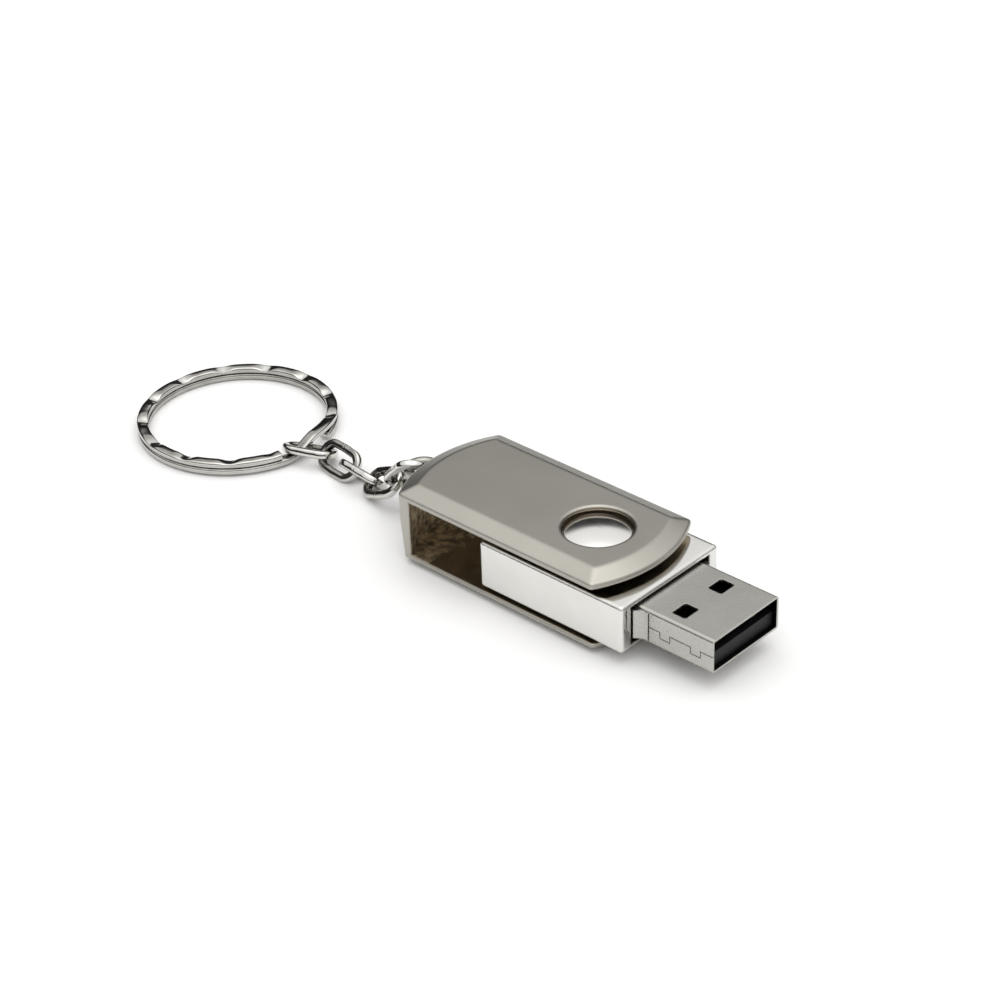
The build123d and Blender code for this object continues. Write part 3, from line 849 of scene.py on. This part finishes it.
@dataclass
class SplitRing:
    """Two coils of flat wire with pressed waves, spread where the last link hangs on the ramp."""

    chain: Chain
    diameter: float = 26.6
    wire_width: float = 1.5
    wire_height: float = 0.96
    lift: float = 0.27
    ramp_start: float = -13.0
    ramp_crest: float = 10.0
    ramp_end: float = 48.0
    crest_rise: float = 0.6
    lower_end: float = 21.5
    upper_end: float = 343.0
    hook_angle: float = -2.3
    bite: tuple = (-0.22, -0.17)
    flatness: float = 3.2
    stations: int = 1500
    section_points: int = 40
    waves: int = 13
    wave_press: float = 0.36
    wave_sharpness: float = 3.5
    wave_inner: float = 0.5
    wave_phase: float = 8.0
    wave_fade_in: float = 25.0
    wave_fade_out: float = 12.0
    wall_start: float = 0.75
    wall_ramp: float = 0.15
    # Painted shade at the seam, and painted dark reflections on the walls and on top between the presses.
    wall_shade: float = 0.08
    wall_inner_shade: float = 0.12
    wall_lines: float = 11.0
    line_shade: float = 0.4
    seam_shade: float = 0.7
    top_shade: float = 0.6
    top_start: float = 0.7
    top_ramp: float = 0.2

    @property
    def middle(self) -> float:
        """Radius of the wire's centre line."""
        return (self.diameter - self.wire_width) / 2

    def heights(self, angle: np.ndarray) -> np.ndarray:
        """Height of the wire's centre: lower coil, eased climb to the crest, eased fall onto the upper coil.

        Args:
            angle: degrees from the ramp's own zero, from below it to the upper coil's end.

        Returns:
            Heights in millimetres.
        """
        climb = eased((angle - self.ramp_start) / (self.ramp_crest - self.ramp_start))
        settle = eased((angle - self.ramp_crest) / (self.ramp_end - self.ramp_crest))
        return self.wire_height * (0.5 + climb) + self.crest_rise * (climb - settle)

    def grid(self) -> np.ndarray:
        """The wire's surface from the lower cut end to the upper one.

        The section is a rounded rectangle. On the upper coil its top is pressed down by a power of a cosine
        wave round the ring, most at the inner edge, and not at all where the coils' ends are.

        Returns:
            Surface points (stations, section_points, 3), tilted and in place.
        """
        angle = np.linspace(self.lower_end - 360, self.upper_end, self.stations)
        wave = self.press_share(angle)
        section = superellipse(self.wire_width / 2, self.wire_height / 2, self.flatness, self.section_points)
        upper = np.clip(section[:, 1] / (self.wire_height / 2), 0, 1)
        inner = np.clip(0.5 - section[:, 0] / self.wire_width, 0, 1)
        press = self.wave_press * wave[:, None] * upper * (1 - self.wave_inner + self.wave_inner * 2 * inner)
        width = np.broadcast_to(section[:, 0], press.shape)
        height = section[:, 1] - press
        sections = np.stack([width, height], axis=-1)
        radians = np.radians(angle)
        outward = np.stack([np.cos(radians), np.sin(radians), np.zeros_like(radians)], axis=-1)
        centres = self.middle * outward
        centres[:, 2] = self.heights(angle)
        upward = np.broadcast_to(np.array([0.0, 0.0, 1.0]), outward.shape)
        return self.seated(swept(centres, outward, upward, sections))

    def painted_shade(self) -> np.ndarray:
        """How much painted shade the ring carries: painted shade towards the seam between its coils, and
        painted dark reflections on its walls and on top between waves.

        The walls are darker in lines, by the square of a cosine wave of the height, and towards the seam by
        the cube of the height's share.

        Returns:
            Values from 0 to 1 (stations, section_points).
        """
        section = superellipse(1.0, 1.0, self.flatness, self.section_points)
        across, up = section[:, 0], section[:, 1]
        wall = eased((np.abs(across) - self.wall_start) / self.wall_ramp)
        angle = np.linspace(self.lower_end - 360, self.upper_end, self.stations)
        upper_coil = eased((angle - self.ramp_start) / (self.ramp_end - self.ramp_start))[:, None]
        towards_seam = np.clip(up * (1 - 2 * upper_coil), 0, 1)
        lines = 0.5 + 0.5 * np.cos(self.wall_lines * up)
        plain = self.wall_shade + self.wall_inner_shade * (across < 0)
        on_wall = wall * (plain + self.line_shade * lines**2) + self.seam_shade * towards_seam**3
        top = eased((up - self.top_start) / self.top_ramp)
        on_top = self.top_shade * top * (1 - self.press_share(angle))[:, None]
        return np.clip(np.maximum(on_wall, on_top), 0, 1)

    def press_share(self, angle: np.ndarray) -> np.ndarray:
        """How deep the presses are: a power of a raised cosine round the ring, faded out at the coil's ends.

        Args:
            angle: degrees round the ring.

        Returns:
            Shares from 0 to 1.
        """
        wave = 0.5 + 0.5 * np.cos(np.radians(self.waves * (angle - self.wave_phase)))
        fade_in = eased((angle - self.ramp_crest) / self.wave_fade_in)
        fade_out = eased((self.upper_end - angle) / self.wave_fade_out)
        return wave ** self.wave_sharpness * fade_in * fade_out

    def seated(self, points: np.ndarray) -> np.ndarray:
        """Tilt the ring about its far edge and move it so that its wire passes through the last link.

        Args:
            points: surface points round the origin.

        Returns:
            The points in place.
        """
        near, along, across = self.chain.places()[-1]
        hook = near + along * (self.chain.straight + self.bite[0]) + across * self.bite[1]
        turn = math.radians(self.hook_angle)
        tilt = math.asin(self.lift / self.diameter)
        edge = self.diameter / 2
        x, z = points[..., 0] + edge, points[..., 2]
        lifted = np.stack([x * math.cos(tilt) - z * math.sin(tilt) - edge, points[..., 1],
                           x * math.sin(tilt) + z * math.cos(tilt)], axis=-1)
        centre = [hook[0] - self.middle * math.cos(turn), hook[1] - self.middle * math.sin(turn), 0.0]
        return lifted + np.array(centre)

    def build(self, material: bpy.types.Material) -> bpy.types.Object:
        """Make the ring, dress it as the chain is dressed and hang it on its body.

        Args:
            material: the links' material.

        Returns:
            The ring object.
        """
        item = surface_object("ring_wire", self.grid(), False, self.painted_shade())
        item.data.materials.append(material)
        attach(item, Ride.RING.value)
        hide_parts("split_ring")
        LOG.info("split ring made")
        return item


@dataclass
class Drive:
    """The cover, body, plug and electronics, which keep their frame shapes and get their finishes."""

    finishes: dict[Finish, tuple[str, ...]] = field(default_factory=lambda: {
        SatinNickel(): ("swivel_cover",),
        BrightPlating("body_chrome", tone=(0.76, 0.755, 0.73), shade=(0.72, 0.712, 0.685),
                      roughness=(0.05, 0.10), wave=Pattern(5.0, 1.0), wave_relief=Relief(0.008),
                      edge_radius=0.4): ("body_housing",),
        BrightPlating("cap_chrome", tone=(0.80, 0.79, 0.77), shade=(0.76, 0.745, 0.72),
                      roughness=(0.13, 0.17), wave=Pattern(2.5, 1.0), wave_relief=Relief(0.006),
                      groove=3.95): ("pivot_cap_top", "pivot_cap_bottom"),
        RolledSteel("plug_steel", inside=(5.72, 2.95, 6.88)): ("plug_shell",),
        RolledSteel("crystal_can", tone=(0.72, 0.71, 0.69), shade=(0.66, 0.65, 0.63)):
            ("crystal_oscillator",),
        Moulding("black_moulding", tone=(0.006, 0.006, 0.007), shade=(0.01, 0.01, 0.012), specular=0.25):
            ("plug_insulator",),
        Moulding("chip_epoxy", tone=(0.018, 0.018, 0.018), shade=(0.03, 0.03, 0.031), roughness=(0.5, 0.65),
                 skin=Pattern(0.08)): ("flash_memory_chip", "controller_chip", "resistors"),
        Moulding("capacitor_ceramic", tone=(0.50, 0.37, 0.22), shade=(0.44, 0.32, 0.19),
                 roughness=(0.35, 0.5)): ("capacitors",),
        Moulding("led_epoxy", tone=(0.9, 0.93, 0.96), shade=(0.85, 0.88, 0.9), roughness=(0.08, 0.14),
                 skin=Pattern(0.3), skin_relief=Relief(0.002, 0.7), transmission=0.7): ("activity_led",),
        Moulding("carrier_plastic", tone=(0.80, 0.80, 0.77), shade=(0.74, 0.74, 0.71), roughness=(0.4, 0.5)):
            ("board_carrier_upper", "board_carrier_lower"),
        SolderMask(): ("circuit_board",),
        BrightPlating("contact_gold", tone=(0.90, 0.68, 0.30), shade=(0.84, 0.60, 0.24),
                      roughness=(0.14, 0.24), wave=Pattern(1.0, 1.0), wave_relief=Relief(0.004)):
            ("contact_power", "contact_data_minus", "contact_data_plus", "contact_ground"),
    })

    def build(self) -> None:
        """Give every carried-over node its finish."""
        for finish, names in self.finishes.items():
            material = finish.material()
            for name in names:
                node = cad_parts[name]
                node.data.materials.clear()
                node.data.materials.append(material)
                LOG.info("%s dressed in %s", name, finish.name)


# --- studio -------------------------------------------------------------------------------------------


@dataclass
class Studio:
    """Camera, pale floor, and a sky that is dark low down and bright overhead.

    The target lies right of the middle of the view and below it by the two aims, in millimetres at the
    camera's distance. The sky's rows are degrees of height and brightness.
    """

    lens: float = 97.215
    sensor: float = 36.0
    clip: tuple = (0.01, 50.0)
    yaw: float = 43.414
    pitch: float = 32.223
    roll: float = -1.862
    distance: float = 322.285
    target: tuple = (-3.36, 0.0, 1.35)
    aim: tuple = (9.2089, 9.5666)
    floor_tone: tuple = (0.955, 0.955, 0.955)
    floor_shade: tuple = (0.950225, 0.950225, 0.950225)
    floor_cloud: Pattern = Pattern(30.0, 3.0)
    floor_roughness: float = 0.9
    floor_specular: float = 0.1
    floor_half: float = 4000.0
    sky: tuple = ((-90, 0.03), (14, 0.03), (20, 0.08), (23, 0.30), (26.5, 0.95), (38, 1.0), (50, 1.1),
                  (60, 1.6), (90, 2.7))
    sky_tint: tuple = (1.0, 0.995, 0.985)
    sky_tilt: float = 9.0
    sky_side: float = -20.0
    backdrop: float = 1.0

    def camera(self) -> bpy.types.Object:
        """Place the camera: it looks along its back axis at the given yaw and pitch, rolled about that axis.

        Returns:
            The camera object.
        """
        yaw, pitch, roll = (math.radians(v) for v in (self.yaw, self.pitch, self.roll))
        back = np.array([math.sin(yaw) * math.cos(pitch), -math.cos(yaw) * math.cos(pitch), math.sin(pitch)])
        right = np.array([math.cos(yaw), math.sin(yaw), 0.0])
        up = np.cross(back, right)
        across = right * math.cos(roll) + up * math.sin(roll)
        above = up * math.cos(roll) - right * math.sin(roll)
        right_of_middle, below_middle = self.aim
        centre = np.array(self.target) + self.distance * back
        centre = centre - right_of_middle * across + below_middle * above
        lens = bpy.data.cameras.new("camera")
        lens.sensor_width = self.sensor
        lens.lens = self.lens
        lens.clip_start, lens.clip_end = self.clip
        item = bpy.data.objects.new("camera", lens)
        bpy.context.scene.collection.objects.link(item)
        axes = np.stack([across, above, back, centre * MM], axis=-1)
        item.matrix_world = Matrix([*axes.tolist(), [0, 0, 0, 1]])
        bpy.context.scene.camera = item
        return item

    def floor(self) -> bpy.types.Object:
        """A large pale floor.

        Returns:
            The floor object.
        """
        size = self.floor_half * MM
        corners = [(-size, -size, 0), (size, -size, 0), (size, size, 0), (-size, size, 0)]
        mesh = bpy.data.meshes.new("floor")
        mesh.from_pydata(corners, [], [(0, 1, 2, 3)])
        item = bpy.data.objects.new("floor", mesh)
        bpy.context.scene.collection.objects.link(item)
        tree = Tree("floor_paper")
        tree.set(Roughness=self.floor_roughness, Specular_IOR_Level=self.floor_specular)
        cloud = tree.span(tree.noise(self.floor_cloud))
        tree.join(tree.tones(cloud, self.floor_tone, self.floor_shade), "Base Color")
        mesh.materials.append(tree.material)
        return item

    def world(self) -> None:
        """A sky that is dark low down and bright overhead, and a plain pale backdrop that the camera sees.

        The sky's brightness is a ramp of the direction's height in degrees, and the ramp lies lower on one
        side: the height gains a tilt times the cosine of the angle from that side.
        """
        world = bpy.data.worlds.new("studio")
        bpy.context.scene.world = world
        world.use_nodes = True
        tree = world.node_tree
        nodes, links = tree.nodes, tree.links
        nodes.clear()
        direction = nodes.new("ShaderNodeSeparateXYZ")
        links.new(nodes.new("ShaderNodeTexCoord").outputs["Generated"], direction.inputs[0])
        side = math.radians(self.sky_side)
        radians = math_node(tree, "ARCSINE", direction.outputs["Z"])
        height = math_node(tree, "MULTIPLY", radians, math.degrees(1))
        along = math_node(tree, "MULTIPLY", direction.outputs["X"], math.cos(side))
        across = math_node(tree, "MULTIPLY", direction.outputs["Y"], math.sin(side))
        gain = math_node(tree, "MULTIPLY", math_node(tree, "ADD", along, across), self.sky_tilt)
        (lowest, _), (highest, brightest) = self.sky[0], self.sky[-1]
        above_lowest = math_node(tree, "SUBTRACT", math_node(tree, "ADD", height, gain), float(lowest))
        ramp = nodes.new("ShaderNodeValToRGB")
        links.new(math_node(tree, "DIVIDE", above_lowest, float(highest - lowest)), ramp.inputs[0])
        stops = ramp.color_ramp.elements
        stops.remove(stops[0])
        for degrees, brightness in self.sky:
            stop = stops[-1] if degrees == highest else stops.new((degrees - lowest) / (highest - lowest))
            stop.color = (*(brightness / brightest * share for share in self.sky_tint), 1.0)
        light, paper = (nodes.new("ShaderNodeBackground") for _ in range(2))
        light.inputs["Strength"].default_value = brightest
        paper.inputs["Strength"].default_value = self.backdrop
        links.new(ramp.outputs[0], light.inputs["Color"])
        seen = nodes.new("ShaderNodeMixShader")
        links.new(nodes.new("ShaderNodeLightPath").outputs["Is Camera Ray"], seen.inputs[0])
        links.new(light.outputs[0], seen.inputs[1])
        links.new(paper.outputs[0], seen.inputs[2])
        links.new(seen.outputs[0], nodes.new("ShaderNodeOutputWorld").inputs["Surface"])

    def build(self) -> None:
        """Set up the camera, the floor and the light."""
        self.camera()
        self.floor()
        self.world()
        bpy.context.scene.view_settings.view_transform = "Standard"
        LOG.info("studio ready")


def main() -> None:
    """Build every sub-assembly."""
    logging.basicConfig(level=logging.INFO, format="%(message)s")
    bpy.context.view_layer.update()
    Studio().build()
    Drive().build()
    chain = Chain()
    links = chain.build()
    SplitRing(chain).build(links[-1].data.materials[0])


if __name__ == "__main__":
    main()
